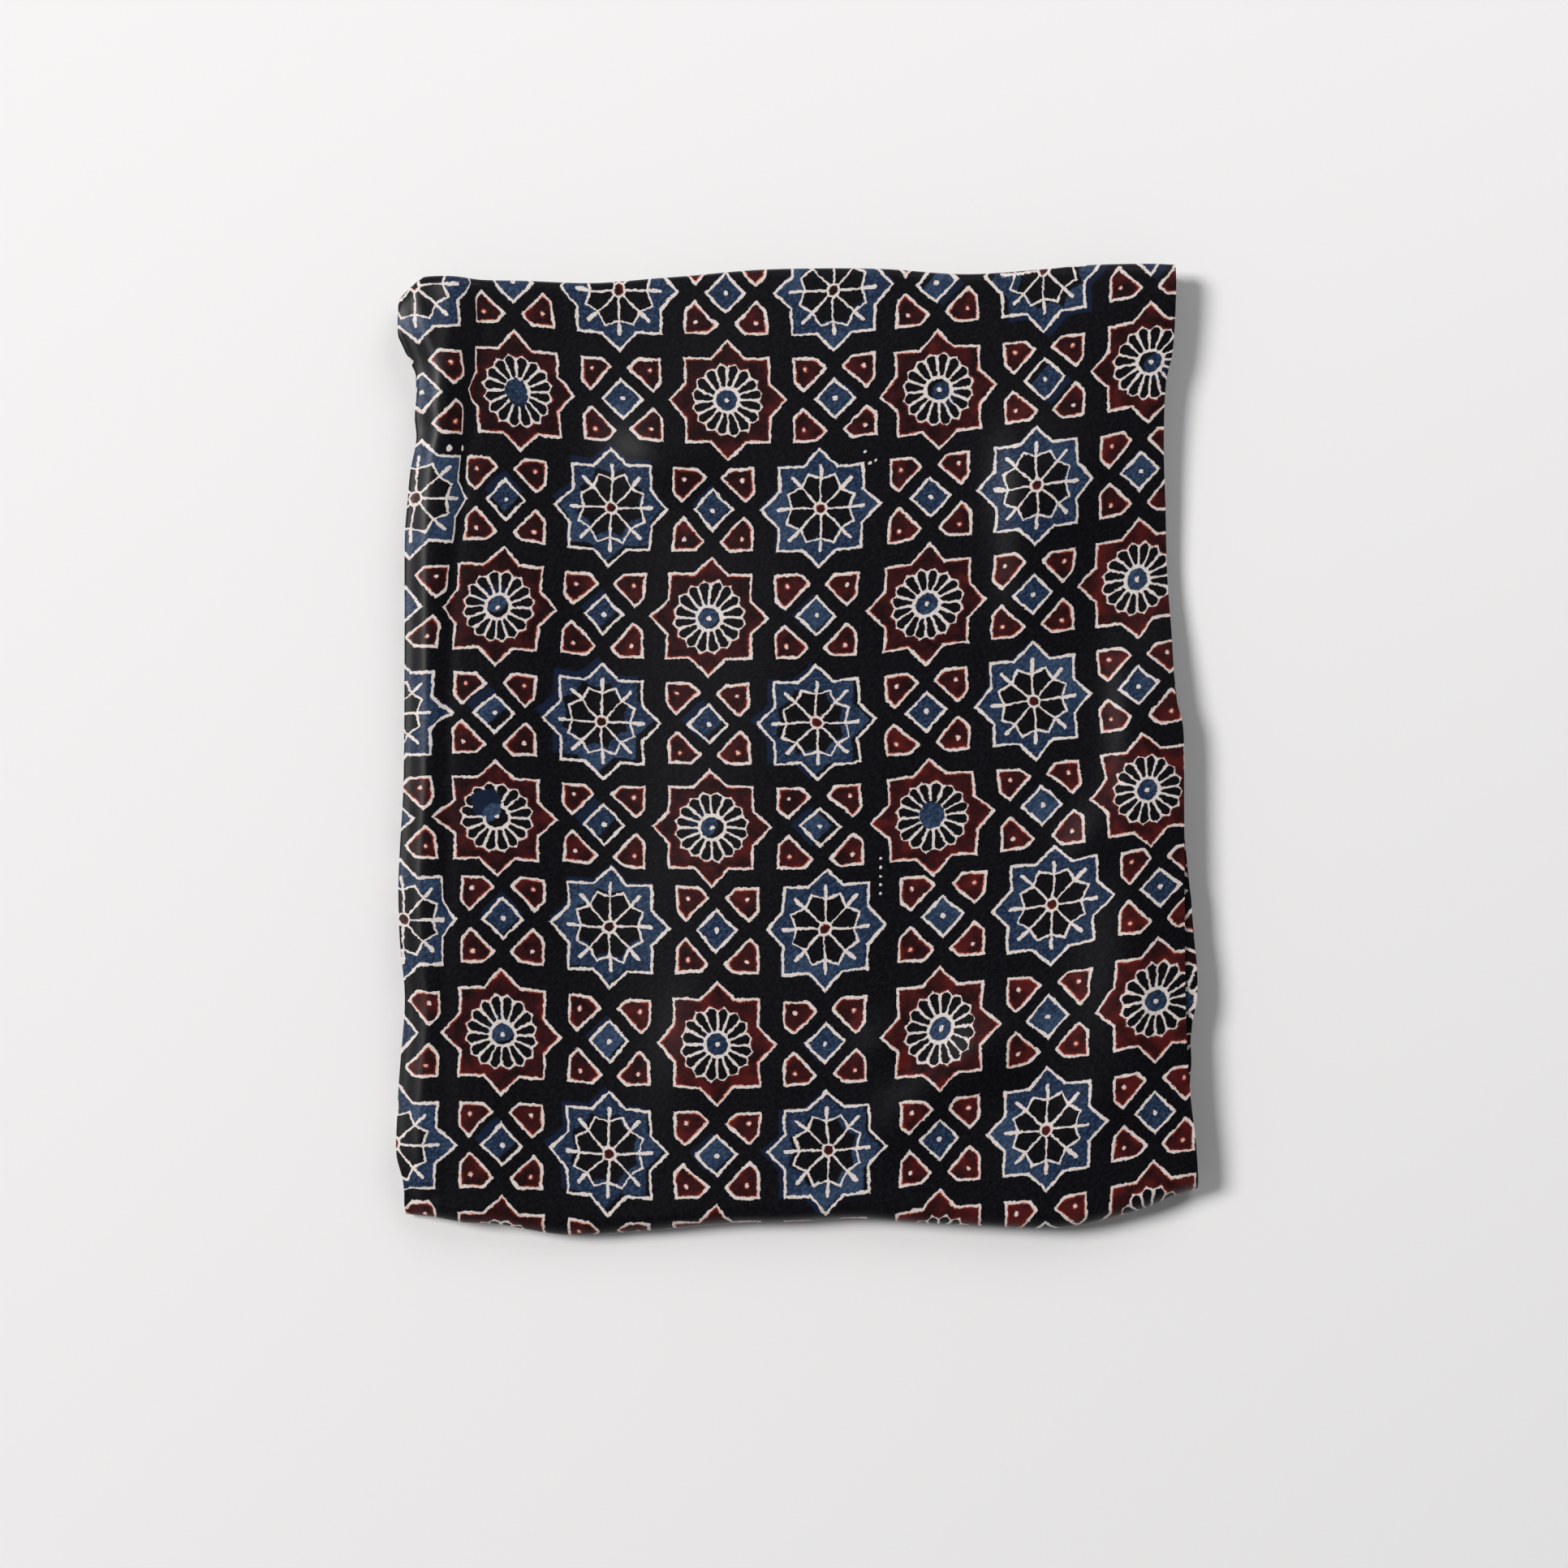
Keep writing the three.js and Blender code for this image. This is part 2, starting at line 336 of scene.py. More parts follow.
# %% [markdown]
# ## The pressing crease and the swells
# An old pressing crease runs along the turned side. At the far end its wall stands steep and the
# strip beyond it is puffed up; further down it is a thin line with a soft shoulder. The rest of the
# top layer has broad swells, a few of them long and narrow. Each is one row of a table: its middle,
# its turn in degrees, how long it is, and how wide on its two sides, wide on the folded side and lee
# on the selvedge side, because a ridge in soft cloth leans.

# %% Relief tables
CREASE = (
    ("y", "x", "depth", "strip", "lost"),
    [
        (-168, -128.3, 0.1, 0.3, -1),
        (-143, -128.3, 0.1, 0.3, -1),
        (-113, -128.3, 0.1, 0.3, 0),
        (-90, -128.2, 0.2, 0.4, 1),
        (-60, -127.8, 0.3, 0.6, 2.5),
        (-36, -127.0, 0.4, 0.7, 0),
        (-18, -127.5, 0.5, 0.9, -1.5),
        (13, -127.5, 0.5, 1.0, -2),
        (46, -126.0, 0.5, 1.0, 1),
        (63, -125.0, 0.5, 1.1, 2.5),
        (89, -122.2, 0.7, 1.4, 3.5),
        (108, -120.8, 0.5, 1.9, 5.5),
        (120, -119.8, 0.2, 2.1, 7),
        (142, -118.0, 0.0, 2.3, 7),
        (160, -117.2, 0.0, 2.3, 6),
        (169, -117.0, 0.0, 2.2, 6),
    ],
)
CREASE_COLUMN = -122.0
CREASE_REACH = {"folded": 20.0, "selvedge": 62.0}
CREASE_WALL = {"folded": 2.0, "selvedge": 3.0}
STRIP_STEP = {"from": -6.5, "to": 4.0}
STRIP_LIP = {"offset": -8.0, "width": 4.0, "share": 0.25}
SWELLS = (
    ("x", "y", "turn", "long", "wide", "lee", "rise"),
    [
        (118, -112, 0, 60, 55, 34, 2.6),
        (142, 66, 0, 46, 48, 48, -5.4),
        (128, 168, 0, 20, 44, 44, 1.4),
        (-74, -20, 0, 180, 30, 40, -3.6),
        (5, 0, 0, 120, 40, 62, 2.0),
        (-51, 106, -30, 13, 16, 20, 3.4),
        (83, 92, 3, 26, 12, 26, 4.6),
        (81, 58, 0, 20, 10, 24, 2.4),
        (120, 16, 1, 44, 9, 16, 3.4),
        (106, -30, -40, 14, 9, 12, 2.6),
        (119, -78, 0, 46, 17, 10, 3.8),
        (68, -108, -25, 13, 12, 12, 3.8),
        (46, -124, -45, 22, 11, 10, 3.0),
        (30, -106, -20, 9, 10, 10, 2.2),
        (104, -130, -30, 10, 8, 10, 2.0),
        (-38, -107, -10, 24, 13, 16, 2.0),
        (-142, 170, 0, 12, 14, 14, -2.2),
        (-140, -166, 0, 12, 16, 16, -2.0),
        (-100, -110, 10, 40, 12, 12, -0.8),
    ],
)
SIDE_DROOP = {"reach": 9.0, "fall": 3.4}
SELVEDGE_DROOP = {"reach": 5.0, "fall": 0.7}
RIPPLE_HEIGHT = 0.22
EASE_IN_LAYERS = 0.3
PUCKER = {"x": -129.0, "y": -157.6, "wide": 5.0, "long": 1.6, "fall": 1.5, "lost": 4.6}


# %% Height of the pile
def pucker(x, y):
    """The share of the near corner where the top layer has slipped back."""
    return ease((PUCKER["x"] - x) / PUCKER["wide"]) * ease((PUCKER["y"] - y) / PUCKER["long"])


def relief(x, y):
    """How far the top layer stands above or below the even packet, in millimetres."""
    aside = x - along(CREASE, "y", y, "x")
    wall = np.where(aside < 0, CREASE_WALL["folded"], CREASE_WALL["selvedge"])
    rise = -along(CREASE, "y", y, "depth") * bell(aside, wall)
    down = ease((aside - STRIP_STEP["from"]) / (STRIP_STEP["to"] - STRIP_STEP["from"]))
    rise += along(CREASE, "y", y, "strip") * (1 - down)
    lip = STRIP_LIP["share"] * bell(aside - STRIP_LIP["offset"], STRIP_LIP["width"])
    rise += along(CREASE, "y", y, "strip") * lip
    rise -= PUCKER["fall"] * pucker(x, y)
    for cx, cy, turned, long, wide, lee, height in SWELLS[1]:
        c, s = math.cos(math.radians(turned)), math.sin(math.radians(turned))
        dx, dy = x - cx, y - cy
        off_ridge = dx * c + dy * s
        width = np.where(off_ridge < 0, wide, lee)
        rise += height * bell(off_ridge, width) * bell(dy * c - dx * s, long)
    from_side = x - along(FOLDED_SIDE, "y", y, "x")
    rise -= SIDE_DROOP["fall"] * (1 - ease(from_side / SIDE_DROOP["reach"]))
    from_selvedge = along(SELVEDGE_SIDE, "y", y, "x") - x
    rise -= SELVEDGE_DROOP["fall"] * (1 - ease(from_selvedge / SELVEDGE_DROOP["reach"]))
    # Small ripples: two crossed waves whose lengths, in millimetres, keep changing.
    waves = np.sin(x / 17 + 1.3 * np.sin(y / 31)) * np.sin(y / 23 + 0.8 * np.sin(x / 27))
    waves += 0.5 * np.sin(x / 9.5 + y / 41 + 2) * np.sin(y / 14 - x / 60)
    return rise + RIPPLE_HEIGHT * waves


def lie(x, y, z, slips):
    """Moves the evenly folded sheet to the way in which this one lies."""
    reach = np.where(x < CREASE_COLUMN, CREASE_REACH["folded"], CREASE_REACH["selvedge"])
    near_crease = np.maximum(0, 1 - np.abs(x - CREASE_COLUMN) / reach)
    toward_selvedge = (x + PACKET_WIDTH / 2) / PACKET_WIDTH
    toward_far = (y + PACKET_DEPTH / 2) / PACKET_DEPTH
    folded = along(FOLDED_SIDE, "y", y, "x") + PACKET_WIDTH / 2
    selvedge = along(SELVEDGE_SIDE, "y", y, "x") - PACKET_WIDTH / 2
    side = folded * (1 - toward_selvedge) + selvedge * toward_selvedge
    crease_share = (CREASE_COLUMN + PACKET_WIDTH / 2) / PACKET_WIDTH
    side_there = folded * (1 - crease_share) + selvedge * crease_share
    crease = along(CREASE, "y", y, "x") - CREASE_COLUMN - side_there
    new_x = x + side + near_crease * crease
    far = along(FAR_EDGE, "x", new_x, "y") - PACKET_DEPTH / 2
    near = along(NEAR_EDGE, "x", new_x, "y") + PACKET_DEPTH / 2
    new_y = y + near * (1 - toward_far) + far * toward_far
    new_x = new_x + slips
    lowest = CLOTH_THICKNESS / 2
    share = (z - lowest) / (PACKET_HEIGHT - CLOTH_THICKNESS)
    breathing = np.sin(z * 1.15 + x / 37 + 1.1 * np.sin(y / 45)) * np.sin(math.pi * share)
    pressed = 1 + relief(new_x, new_y) / PACKET_HEIGHT
    return new_x, new_y, lowest + (z - lowest + EASE_IN_LAYERS * breathing) * pressed


# %% [markdown]
# ## Cutting and folding the cloth
# A flat grid, one quad for each step, is the cut cloth. Each of its points is moved to its place in
# the two sections, and then to the way it lies. The flat places go into a UV map, so the print
# follows the cloth round every fold, as a real print does.

# %% The cloth
SETTLE = (-0.83, 0.3)
SLIP_REACH = 16
SLIP_LEAST = 0.3
TOP_MARGIN = 0.4
TOP_BLEND = 1.4
SHORTFALL = 0.9
SHORTFALL_FADE = 20
bpy.ops.object.select_all(action="DESELECT")
bpy.ops.mesh.primitive_grid_add(
    x_subdivisions=len(across) - 1,
    y_subdivisions=len(lengthwise) - 1,
    size=1.0,
    calc_uvs=True,
    location=(0, 0, 0),
)
cloth = bpy.context.object
cloth.name = "ajrakh_cloth"
cloth.data.name = "ajrakh_cloth"
mesh = cloth.data
flat_points = np.empty(len(mesh.vertices) * 3)
mesh.vertices.foreach_get("co", flat_points)
flat_points = flat_points.reshape(-1, 3)
column_of = np.rint((flat_points[:, 0] + 0.5) * (len(across) - 1)).astype(int)
row_of = np.rint((flat_points[:, 1] + 0.5) * (len(lengthwise) - 1)).astype(int)

u_rows, v_rows = across[column_of], lengthwise[row_of]
pair_x, pair_height = offset(u_rows, 0.0)
even_y, even_z = offset(v_rows, pair_height)

# Every hidden selvedge ends a little short of the top one, each by its own amount.
near_end = ease((pair_x - (SELVEDGE_X - SLIP_REACH)) / SLIP_REACH)
layer = np.rint((even_z - CLOTH_THICKNESS / 2) / LAYER_PITCH)
top_floor = PACKET_HEIGHT - LAYER_PITCH - TOP_MARGIN
hidden = 1 - ease((even_z - top_floor) / LAYER_PITCH * TOP_BLEND)
slip_out = along(SLIPPED_LAYERS, "y", even_y, "out")
short = SHORTFALL + 0.7 * np.sin(layer * 2.4 + even_y / 52) + 0.4 * np.sin(layer * 4.1 + even_y / 23)
short *= ease((even_y - NEAR_TURN_Y) / SHORTFALL_FADE) * ease((FAR_TURN_Y - even_y) / SHORTFALL_FADE)
slips = near_end * hidden * np.where(slip_out > SLIP_LEAST, slip_out, -short)
x, y, z = lie(pair_x, even_y, even_z, slips)
places = np.stack([x - SETTLE[0], y - SETTLE[1], z], axis=1) * MM
mesh.vertices.foreach_set("co", places.ravel())
mesh.update()
print("cloth:", len(mesh.vertices), "points")

# %% [markdown]
# ## The print's own coordinates
# The printer laid the cloth down a little skewed and it was pulled out of square in folding, so the
# rows of stars bow across it. The crease and the pucker swallow a little cloth too. So the UV map
# isn't quite the flat cloth. Short tables bend its rows, stretch them at the near end,
# sway its columns and pull it in a few places, and it jumps across the crease.

# %% UV map of the print, in metres
PRINT_ORIGIN = (9.5, 94.0)
ROW_BOW = (
    ("x", "up"),
    [(-145, -3), (-107, -3), (-68, -6), (8, -6.5), (48, -2), (87, 2), (125, 8), (145, 10.5)],
)
ROW_GAIN = (
    ("y", "up"),
    [(-165, -4), (-143, -3), (-100, -1.5), (-62, 1), (-25, 1), (12, -0.5), (165, -0.5)],
)
COLUMN_SWAY = (
    ("y", "right"),
    [(-165, 0), (-62, 0.5), (-25, 0.3), (12, -0.8), (52, -0.5), (88, 1), (165, 0)],
)
PULLS = (
    ("x", "y", "wide", "long", "right", "up"),
    [
        (-118, 100, 40, 55, 3.2, 0),
        (-68, 88, 22, 30, 1.7, 0),
        (130, 90, 45, 70, -2, -0.5),
        (100, -35, 70, 40, 2.6, -1),
        (12, -146, 34, 28, 1.7, 1.6),
    ],
)
CREASE_SWALLOW = 5.0

flat_x = u_rows[:, 3] + (x - pair_x)
flat_y = v_rows[:, 3] + (y - even_y)
aside = x - along(CREASE, "y", y, "x")
swallowed = 1 - ease(aside / CREASE_SWALLOW + 0.5)
print_u = flat_x - PRINT_ORIGIN[0]
print_u -= along(COLUMN_SWAY, "y", y, "right") + swallowed * along(CREASE, "y", y, "lost")
print_v = flat_y - PRINT_ORIGIN[1]
print_v -= along(ROW_BOW, "x", x, "up") + along(ROW_GAIN, "y", y, "up")
for cx, cy, wide, long, right, up in PULLS[1]:
    pulled = bell(x - cx, wide) * bell(y - cy, long)
    print_u -= right * pulled
    print_v -= up * pulled
print_v -= PUCKER["lost"] * pucker(x, y)

uv_map = mesh.uv_layers[0]
uv_map.name = "print"
loop_points = np.empty(len(mesh.loops), dtype=int)
mesh.loops.foreach_get("vertex_index", loop_points)
uvs = np.stack([print_u, print_v], axis=1)[loop_points] * MM
uv_map.data.foreach_set("uv", uvs.ravel())

# %% [markdown]
# ## Thickness
# The folded sheet has no thickness yet. Both of its faces could be folded, but pushing the one sheet
# out by half the thickness each way is shorter and closes the selvedges and the cut ends as well.

# %% Thickness
SMOOTH_BELOW = math.radians(60)
thickness = cloth.modifiers.new("thickness", "SOLIDIFY")
thickness.thickness = CLOTH_THICKNESS * MM
thickness.offset = 0.0
bpy.ops.object.modifier_apply(modifier=thickness.name)
bpy.ops.object.shade_smooth_by_angle(angle=SMOOTH_BELOW)
print("cloth faces:", len(cloth.data.polygons))

# %% [markdown]
# ## Sums on a surface
# The print is drawn with sums, not with a picture. Each sum on a socket would be a Math node placed
# by hand; a small class that wraps a socket lets the sums be written as ordinary expressions.

# %% Values that add their own nodes
class Value:
    """A socket of a node tree that can be used in sums."""

    def __init__(self, tree, socket):
        self.tree, self.socket = tree, socket

    def node(self, kind, settings=None, inputs=None):
        made = self.tree.nodes.new(kind)
        for name, setting in (settings or {}).items():
            setattr(made, name, setting)
        for name, given in (inputs or {}).items():
            if isinstance(given, Value):
                self.tree.links.new(given.socket, made.inputs[name])
            else:
                made.inputs[name].default_value = given
        return made

    def math(self, operation, *others):
        given = dict(enumerate([self, *others]))
        made = self.node("ShaderNodeMath", {"operation": operation}, given)
        return Value(self.tree, made.outputs[0])

    def reverse(self, operation, other):
        made = self.node("ShaderNodeMath", {"operation": operation}, {0: other, 1: self})
        return Value(self.tree, made.outputs[0])

    def __add__(self, other):
        return self.math("ADD", other)

    def __radd__(self, other):
        return self.math("ADD", other)

    def __sub__(self, other):
        return self.math("SUBTRACT", other)

    def __rsub__(self, other):
        return self.reverse("SUBTRACT", other)

    def __mul__(self, other):
        return self.math("MULTIPLY", other)

    def __rmul__(self, other):
        return self.math("MULTIPLY", other)

    def __truediv__(self, other):
        return self.math("DIVIDE", other)

    def __abs__(self):
        return self.math("ABSOLUTE")

    def least(self, other):
        return self.math("MINIMUM", other)

    def most(self, other):
        return self.math("MAXIMUM", other)

    def floor(self):
        return self.math("FLOOR")

    def clamped(self):
        return self.most(0.0).least(1.0)

    def inside(self, softness):
        """1 where a distance is negative and 0 where it is positive, with a soft edge."""
        return (0.5 - self / softness).clamped()

    def between(self, low, high):
        """A share from 0 at low to 1 at high."""
        return ((self - low) / (high - low)).clamped()


def length_of(a, b):
    return (a * a + b * b).math("SQRT")


# %% [markdown]
# ## The printing blocks
# A block of two repeats each way is pressed down again and again, by eye, so each impression is a
# millimetre or two off. The red goes on with its own block, and the indigo is kept out by clay
# where it isn't wanted, so it strays most. One table holds the impressions that show. Every shape
# of the repeat belongs to one block, and finds its own row by the place of its own middle, so no
# shape is ever cut at a joint between two impressions.

# %% Block impressions
REPEAT = 77.3
BLOCKS = (
    ("column", "row", "right", "up", "blue_right", "blue_up", "blue_turn"),
    [
        (-1, 1, 0.0, -0.5, 0.0, 0.0, 0.0),
        (-1, 0, 0.0, 0.0, 0.6, 0.3, 0.0),
        (-1, -1, 0.0, 1.7, 0.0, 0.0, 0.0),
        (0, 1, 2.6, 0.5, -0.4, 0.2, 0.012),
        (0, 0, -2.8, 0.0, -1.95, 1.75, -0.023),
        (0, -1, -0.9, 2.1, -1.5, 0.9, -0.02),
        (1, 1, 1.3, -0.7, 2.3, -1.75, 0.0),
        (1, 0, -2.0, 0.0, -0.6, 0.4, 0.0),
        (1, -1, 1.7, 2.3, 0.2, 0.3, 0.0),
    ],
)
BLOCK_SPAN = 2
BLOCK_START = 0.25
BLOCK_MIDDLE = 0.75

fabric = bpy.data.materials.new("block_printed_satin")
fabric.use_nodes = True
tree = fabric.node_tree
tree.nodes.clear()
start = Value(tree, None)
uv_node = start.node("ShaderNodeUVMap", {"uv_map": "print"})
split = start.node("ShaderNodeSeparateXYZ", inputs={0: Value(tree, uv_node.outputs[0])})
cloth_u = Value(tree, split.outputs[0]) / MM
cloth_v = Value(tree, split.outputs[1]) / MM


def blend(share, low, high):
    """A mix of two colours or sockets."""
    made = start.node("ShaderNodeMix", {"data_type": "RGBA"}, {0: share, 6: low, 7: high})
    return Value(tree, made.outputs[2])


def grain(size, detail=2.0, stretch=(1, 1), turn=0.0, seed=0.0):
    """Noise on the cloth, about 0 to 1, with its spots a size in millimetres."""
    c, s = math.cos(turn), math.sin(turn)
    a = (cloth_u * (c * stretch[0]) + cloth_v * (s * stretch[0])) / size
    b = (cloth_v * (c * stretch[1]) - cloth_u * (s * stretch[1])) / size
    place = start.node("ShaderNodeCombineXYZ", inputs={0: a, 1: b, 2: seed})
    vector = Value(tree, place.outputs[0])
    inputs = {"Vector": vector, "Scale": 1.0, "Detail": detail, "Roughness": 0.5}
    made = start.node("ShaderNodeTexNoise", {"noise_dimensions": "3D"}, inputs)
    return Value(tree, made.outputs["Fac"])


def wave(value):
    return (value * (2 * math.pi)).math("COSINE")


def impression(block_u, block_v):
    """The columns of BLOCKS, by name, at a block; 0 where the table has no row."""
    index = block_u + block_v * 3
    names, rows = BLOCKS
    here = [index.math("COMPARE", float(row[0] + 3 * row[1]), 0.5) for row in rows]
    found = {}
    for name in names[2:]:
        total = 0.0
        for share, row in zip(here, rows):
            if row[names.index(name)] != 0:
                total = share.math("MULTIPLY_ADD", row[names.index(name)], total)
        found[name] = total
    return found


# %% [markdown]
# ## Wobble
# Carved lines and resist paste never have a ruler's edge. Two noises push the place that is looked
# up: one bends whole shapes by a few tenths of a millimetre, one roughens the lines.

# %% Places on the block
BEND = {"size": 15.0, "shift": 2.6}
ROUGH = {"size": 1.7, "shift": 1.0}
FUZZ = {"size": 0.5, "shift": 0.5}


def push(seed):
    total = (grain(BEND["size"], 1.0, seed=seed) - 0.5) * BEND["shift"]
    total = total + (grain(ROUGH["size"], 1.0, seed=seed + 4) - 0.5) * ROUGH["shift"]
    return total + (grain(FUZZ["size"], 0.0, seed=seed + 8) - 0.5) * FUZZ["shift"]


wobble_u, wobble_v = push(1.0), push(21.0)


def nearest(value, shift):
    """The nearest of the places shift + n, counted in repeats."""
    return (value / REPEAT + (0.5 - shift)).floor() + shift


def family(shift_u, shift_v):
    """A place as seen from the nearest shape of a kind, on the line block and on the blue one."""
    at_u, at_v = nearest(cloth_u, shift_u), nearest(cloth_v, shift_v)
    block_u = ((at_u - BLOCK_START) / BLOCK_SPAN).floor() + 1
    block_v = ((at_v - BLOCK_START) / BLOCK_SPAN).floor() + 1
    strayed = impression(block_u, block_v)
    middle_u = (at_u - block_u * BLOCK_SPAN + BLOCK_MIDDLE) * REPEAT
    middle_v = (at_v - block_v * BLOCK_SPAN + BLOCK_MIDDLE) * REPEAT
    line_u = cloth_u - at_u * REPEAT - strayed["right"] + wobble_u
    line_v = cloth_v - at_v * REPEAT - strayed["up"] + wobble_v
    blue_u = line_u - strayed["blue_right"] + strayed["blue_turn"] * (middle_v + line_v)
    blue_v = line_v - strayed["blue_up"] - strayed["blue_turn"] * (middle_u + line_u)
    return (line_u, line_v), (blue_u, blue_v)


# %% [markdown]
# ## The star repeat
# The repeat is the old one of eight-pointed stars: a blue star at each corner of a square, a red one
# in its middle, a small diamond on each side, and four little kite-like cells round each diamond.
# Each shape is a distance: below zero inside, above zero outside. Folding the place by absolute
# values and swaps gives all the eight-fold symmetry for nothing.

# %% Shapes of the repeat
STAR_HALF = 15.0
DIAMOND_HALF = 4.95
CELL_OUTER, CELL_INNER, CELL_FLANK, CELL_ROUND = 14.5, 10.25, 5.75, 1.2
CELL_DOT, DOT_RADIUS, DIAMOND_DOT_RADIUS = 10.7, 0.78, 0.85
HALF_DIAGONAL = math.sqrt(0.5)


def folded(a, b):
    """Folds a place into the half sector from 0 to 45 degrees."""
    a, b = abs(a), abs(b)
    return a.most(b), a.least(b)


def star(a, b):
    high, low = folded(a, b)
    return high.least((high + low) * HALF_DIAGONAL) - STAR_HALF


def diamond(a, b):
    return (abs(a) + abs(b)) * HALF_DIAGONAL - DIAMOND_HALF


def cell(a, b):
    high, low = folded(a, b)
    slant = CELL_INNER - (high + low) * HALF_DIAGONAL
    flank = (high - low) * HALF_DIAGONAL - CELL_FLANK
    kite = (high - CELL_OUTER).math("SMOOTH_MAX", slant, CELL_ROUND)
    return kite.math("SMOOTH_MAX", flank, CELL_ROUND)


def cell_dot(a, b):
    return length_of(abs(a) - CELL_DOT, abs(b) - CELL_DOT) - DOT_RADIUS


def bar(along_it, aside_it, start_at, end_at, half_width):
    """A straight stroke with round ends."""
    middle, half = (start_at + end_at) / 2, (end_at - start_at) / 2
    past = (abs(along_it - middle) - half).most(0.0)
    return length_of(past, aside_it) - half_width


# %% [markdown]
# ## The flower in the blue star
# Eight strokes from a small red eye cross an outline whose points lie between them. The outline is a
# polygon, so half a petal is one straight line.

# %% Blue star's flower
FLOWER_VALLEY, FLOWER_POINT = 10.4, 13.0
STROKE_FROM, STROKE_TO = 2.5, 15.2
EYE_RADIUS, EYE_RIM = 1.65, 2.5
half_angle = math.radians(22.5)
petal_run = (
    FLOWER_POINT * math.cos(half_angle) - FLOWER_VALLEY,
    FLOWER_POINT * math.sin(half_angle),
)
petal_length = math.hypot(*petal_run)


def eight_fold(a, b):
    high, low = folded(a, b)
    first = high.most((high + low) * HALF_DIAGONAL)
    second = low.least((high - low) * HALF_DIAGONAL)
    return first, second


def flower(a, b):
    first, second = eight_fold(a, b)
    reach = (first - FLOWER_VALLEY) * (petal_run[1] / petal_length)
    return reach - second * (petal_run[0] / petal_length)


# %% [markdown]
# ## The rosette in the red star
# Sixteen drop-shaped petals stand in a cream wheel with a pointed rim, round a blue hub with a cream
# eye. A drop is a stroke that grows wider outwards.

# %% Red star's rosette
PETAL_FROM, PETAL_TO = 5.7, 10.8
PETAL_NARROW, PETAL_WIDE = 0.66, 1.6
PETAL_WALL = 0.08
RIM_POINT, RIM_VALLEY = 13.4, 12.0
HUB_RADIUS = 3.85
HUB_SPILL = 1.0
sixteenth = math.radians(11.25)
rim_run = (RIM_VALLEY * math.cos(sixteenth) - RIM_POINT, RIM_VALLEY * math.sin(sixteenth))
rim_length = math.hypot(*rim_run)


def sixteen_fold(a, b):
    first, second = eight_fold(a, b)
    c, s = math.cos(sixteenth), math.sin(sixteenth)
    return first * c + second * s, abs(second * c - first * s)


def drop(a, b):
    out, aside_it = sixteen_fold(a, b)
    share = out.between(PETAL_FROM, PETAL_TO)
    past = out - (PETAL_FROM + (PETAL_TO - PETAL_FROM) * share)
    return length_of(past, aside_it) - (PETAL_NARROW + (PETAL_WIDE - PETAL_NARROW) * share)


def rosette(a, b):
    out, aside_it = sixteen_fold(a, b)
    return (out - RIM_POINT) * (rim_run[1] / rim_length) - aside_it * (rim_run[0] / rim_length)


# %% [markdown]
# ## Lines that stayed cream
# Everything that the resist paste kept white: outlines, strokes, the rosette's wheel and the dots.

# %% Cream lines
LINE_HALF = 0.47
THIN_HALF = 0.37
STROKE_END_HALF = 0.62
LINE_SPREAD = {"size": 5.0, "spread": 0.8}
EDGE = 0.16
CELL_LINE_EXTRA = 0.03
STROKE_SWELL = (9.5, 12.5)
FAR_AWAY = 9.0
SMUDGE_RAGGED = 2.0
SMUDGES = (
    ("right", "up", "radius"),
    [(-113.7, 39.0, 4.6), (-122.1, -110.6, 5.2), (36.4, -115.5, 5.0)],
)
MARKS = (
    ("right", "up", "radius"),
    [(13.2, 19.5, 0.6), (14.9, 14.8, 0.7), (17.0, 15.5, 0.5), (-144.6, 17.8, 1.0), (-138.0, 17.8, 0.9)]
    + [(18.3, -129.6 - 3.1 * step, 0.5) for step in range(5)],
)

corner, blue_corner = family(0.0, 0.0)
middle, blue_middle = family(0.5, 0.5)
below, blue_below = family(0.5, 0.0)
beside, blue_beside = family(0.0, 0.5)
blue_star = star(*corner)
red_star = star(*middle)
diamonds = diamond(*below).least(diamond(*beside))
cells = cell(*below).least(cell(*beside))
cell_dots = cell_dot(*below).least(cell_dot(*beside))
diamond_dots = length_of(*below).least(length_of(*beside)) - DIAMOND_DOT_RADIUS

outlines = (abs(blue_star).least(abs(red_star))).least(abs(diamonds)) - LINE_HALF
outlines = outlines.least(abs(cells) - (LINE_HALF + CELL_LINE_EXTRA))
stroke_first, stroke_second = eight_fold(*corner)
stroke_half = THIN_HALF + (STROKE_END_HALF - THIN_HALF) * stroke_first.between(*STROKE_SWELL)
strokes = bar(stroke_first, stroke_second, STROKE_FROM, STROKE_TO, stroke_half)
petal_line = abs(flower(*corner)) - THIN_HALF
from_corner = length_of(*corner)
from_middle = length_of(*middle)
eye = abs(from_corner - (EYE_RADIUS + EYE_RIM) / 2) - (EYE_RIM - EYE_RADIUS) / 2
wheel = rosette(*middle).most(PETAL_WALL - drop(*middle)).most(HUB_RADIUS - from_middle)
lines = outlines.least(strokes).least(petal_line).least(eye).least(wheel)
lines = lines.least(cell_dots).least(diamond_dots).least(from_middle - DIAMOND_DOT_RADIUS)
lines = lines + (grain(LINE_SPREAD["size"], 2.0, seed=33.0) - 0.5) * LINE_SPREAD["spread"]

smudge = FAR_AWAY
for right, up, radius in SMUDGES[1]:
    from_u = cloth_u - right + wobble_u * SMUDGE_RAGGED
    from_v = cloth_v - up - wobble_v * SMUDGE_RAGGED
    smudge = (length_of(from_u, from_v) - radius).least(smudge)
lines = lines.most(0.0 - smudge)
for right, up, radius in MARKS[1]:
    lines = (length_of(cloth_u - right, cloth_v - up + wobble_u) - radius).least(lines)
cream = lines.inside(EDGE)

